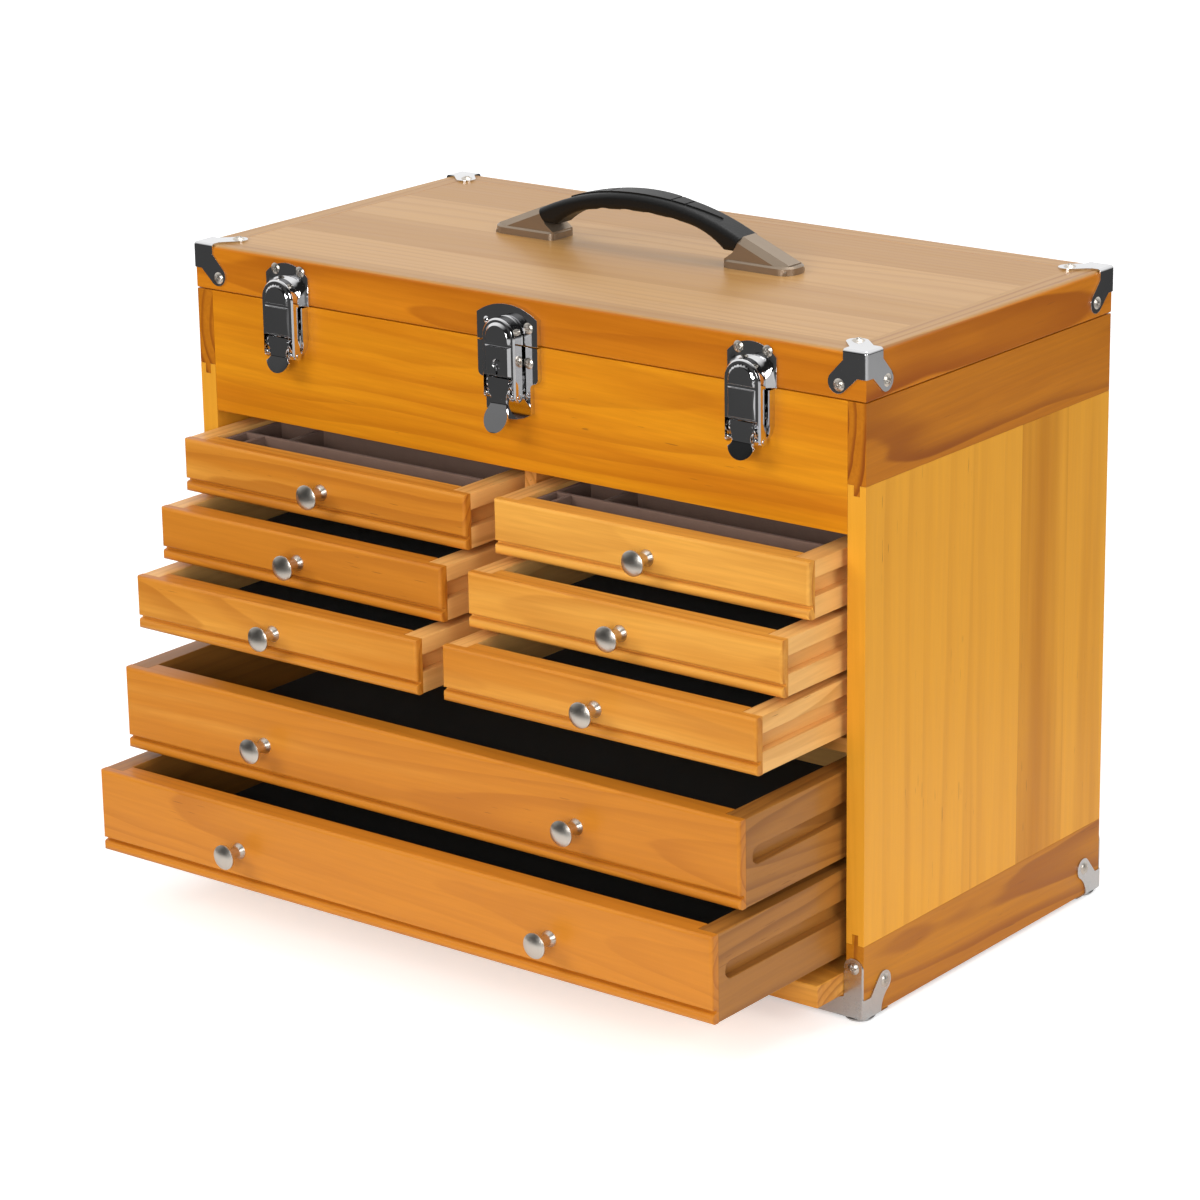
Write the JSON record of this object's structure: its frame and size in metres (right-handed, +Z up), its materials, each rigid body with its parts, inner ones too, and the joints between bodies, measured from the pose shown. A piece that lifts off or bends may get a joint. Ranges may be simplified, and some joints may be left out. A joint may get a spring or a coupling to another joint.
{
  "type": "machinist tool chest",
  "caption": "Varnished wooden machinist tool chest with lift-up lid, draw latches, carrying handle and felt-lined drawers, drawn out in steps.",
  "frame": {"origin": "centre of the chest's footprint at the undersides of its feet", "axes": "+X to the right seen from the front, +Y to the back, +Z up"},
  "size_m": [0.455, 0.3628, 0.3898],
  "materials": {
    "pine": "clear amber varnish",
    "plain_pine": "thin clear coat",
    "chrome": "bright plating",
    "steel": "satin plating",
    "satin_nickel": "satin nickel plating",
    "grip_rubber": "black moulded",
    "black_felt": "felt",
    "taupe_flock": "flocked"
  },
  "bodies": {
    "chest": {"side_panels": "pine", "side_rails": "pine", "upper_front": "pine", "back_panel": "pine", "shelves": "plain_pine", "bottom_board": "pine", "centre_divider": "pine", "drawer_runners": "plain_pine", "foot_brackets": "steel", "body_screws": "steel", "latch_bases": "chrome", "hinge_body_leaves": "steel"},
    "lid": {"lid_panel": "pine", "lid_rails": "pine", "lid_brackets": "chrome", "lid_screws": "chrome", "latch_strikes": "chrome", "hinge_lid_leaves": "steel", "handle_grip": "grip_rubber", "handle_feet": "satin_nickel"},
    "cover": {"cover_board": "pine"},
    "drawer_left_1": {"drawer_left_1_front": "pine", "drawer_left_1_box": "plain_pine", "drawer_left_1_tray": "taupe_flock", "drawer_left_1_knob": "satin_nickel"},
    "drawer_left_2": {"drawer_left_2_front": "pine", "drawer_left_2_box": "plain_pine", "drawer_left_2_felt": "black_felt", "drawer_left_2_knob": "satin_nickel"},
    "drawer_left_3": {"drawer_left_3_front": "pine", "drawer_left_3_box": "plain_pine", "drawer_left_3_felt": "black_felt", "drawer_left_3_knob": "satin_nickel"},
    "drawer_right_1": {"drawer_right_1_front": "pine", "drawer_right_1_box": "plain_pine", "drawer_right_1_tray": "taupe_flock", "drawer_right_1_knob": "satin_nickel"},
    "drawer_right_2": {"drawer_right_2_front": "pine", "drawer_right_2_box": "plain_pine", "drawer_right_2_felt": "black_felt", "drawer_right_2_knob": "satin_nickel"},
    "drawer_right_3": {"drawer_right_3_front": "pine", "drawer_right_3_box": "plain_pine", "drawer_right_3_felt": "black_felt", "drawer_right_3_knob": "satin_nickel"},
    "drawer_wide_1": {"drawer_wide_1_front": "pine", "drawer_wide_1_box": "plain_pine", "drawer_wide_1_felt": "black_felt", "drawer_wide_1_knob": "satin_nickel"},
    "drawer_wide_2": {"drawer_wide_2_front": "pine", "drawer_wide_2_box": "plain_pine", "drawer_wide_2_felt": "black_felt", "drawer_wide_2_knob": "satin_nickel"},
    "lever_left": {"lever_left": "chrome"},
    "claw_left": {"claw_left": "chrome"},
    "lever_middle": {"lever_middle": "chrome"},
    "claw_middle": {"claw_middle": "chrome"},
    "lever_right": {"lever_right": "chrome"},
    "claw_right": {"claw_right": "chrome"},
    "lock_plug": {"lock_plug": "steel"}
  },
  "joints": [
    {"name": "drawer_left_1_slide", "type": "slide", "parent": "chest", "child": "drawer_left_1", "axis": [0, -1, 0], "range_m": [-0.0615, 0.0985]},
    {"name": "drawer_left_2_slide", "type": "slide", "parent": "chest", "child": "drawer_left_2", "axis": [0, -1, 0], "range_m": [-0.0825, 0.0775]},
    {"name": "drawer_left_3_slide", "type": "slide", "parent": "chest", "child": "drawer_left_3", "axis": [0, -1, 0], "range_m": [-0.104, 0.056]},
    {"name": "drawer_right_1_slide", "type": "slide", "parent": "chest", "child": "drawer_right_1", "axis": [0, -1, 0], "range_m": [-0.057, 0.103]},
    {"name": "drawer_right_2_slide", "type": "slide", "parent": "chest", "child": "drawer_right_2", "axis": [0, -1, 0], "range_m": [-0.08, 0.08]},
    {"name": "drawer_right_3_slide", "type": "slide", "parent": "chest", "child": "drawer_right_3", "axis": [0, -1, 0], "range_m": [-0.102, 0.058]},
    {"name": "drawer_wide_1_slide", "type": "slide", "parent": "chest", "child": "drawer_wide_1", "axis": [0, -1, 0], "range_m": [-0.1165, 0.0435]},
    {"name": "drawer_wide_2_slide", "type": "slide", "parent": "chest", "child": "drawer_wide_2", "axis": [0, -1, 0], "range_m": [-0.14, 0.02]},
    {"name": "cover_slide", "type": "slide", "parent": "chest", "child": "cover", "axis": [0, -1, 0], "range_m": [0, 0.18]},
    {"name": "lid_hinge", "type": "hinge", "parent": "chest", "child": "lid", "pos_m": [0, 0.119, 0.3312], "axis": [-1, 0, 0], "range_deg": [0, 100]},
    {"name": "lever_left_hinge", "type": "hinge", "parent": "chest", "child": "lever_left", "pos_m": [-0.1564, -0.1225, 0.3108], "axis": [-1, 0, 0], "range_deg": [0, 90]},
    {"name": "claw_left_hinge", "type": "hinge", "parent": "lever_left", "child": "claw_left", "pos_m": [-0.1564, -0.1225, 0.3043], "axis": [-1, 0, 0], "range_deg": [-112.5, 0]},
    {"name": "lever_middle_hinge", "type": "hinge", "parent": "chest", "child": "lever_middle", "pos_m": [0, -0.1237, 0.3108], "axis": [-1, 0, 0], "range_deg": [0, 90]},
    {"name": "claw_middle_hinge", "type": "hinge", "parent": "lever_middle", "child": "claw_middle", "pos_m": [0, -0.1237, 0.3043], "axis": [-1, 0, 0], "range_deg": [-112.5, 0]},
    {"name": "lever_right_hinge", "type": "hinge", "parent": "chest", "child": "lever_right", "pos_m": [0.1564, -0.1225, 0.3108], "axis": [-1, 0, 0], "range_deg": [0, 90]},
    {"name": "claw_right_hinge", "type": "hinge", "parent": "lever_right", "child": "claw_right", "pos_m": [0.1564, -0.1225, 0.3043], "axis": [-1, 0, 0], "range_deg": [-112.5, 0]},
    {"name": "lock_plug_turn", "type": "hinge", "parent": "claw_middle", "child": "lock_plug", "pos_m": [0, -0.125, 0.3218], "axis": [0, 1, 0], "range_deg": [0, 90]}
  ],
  "couplings": [
    {"joint": "claw_left_hinge", "follows": "lever_left_hinge", "ratio": -1.25},
    {"joint": "claw_middle_hinge", "follows": "lever_middle_hinge", "ratio": -1.25},
    {"joint": "claw_right_hinge", "follows": "lever_right_hinge", "ratio": -1.25}
  ]
}
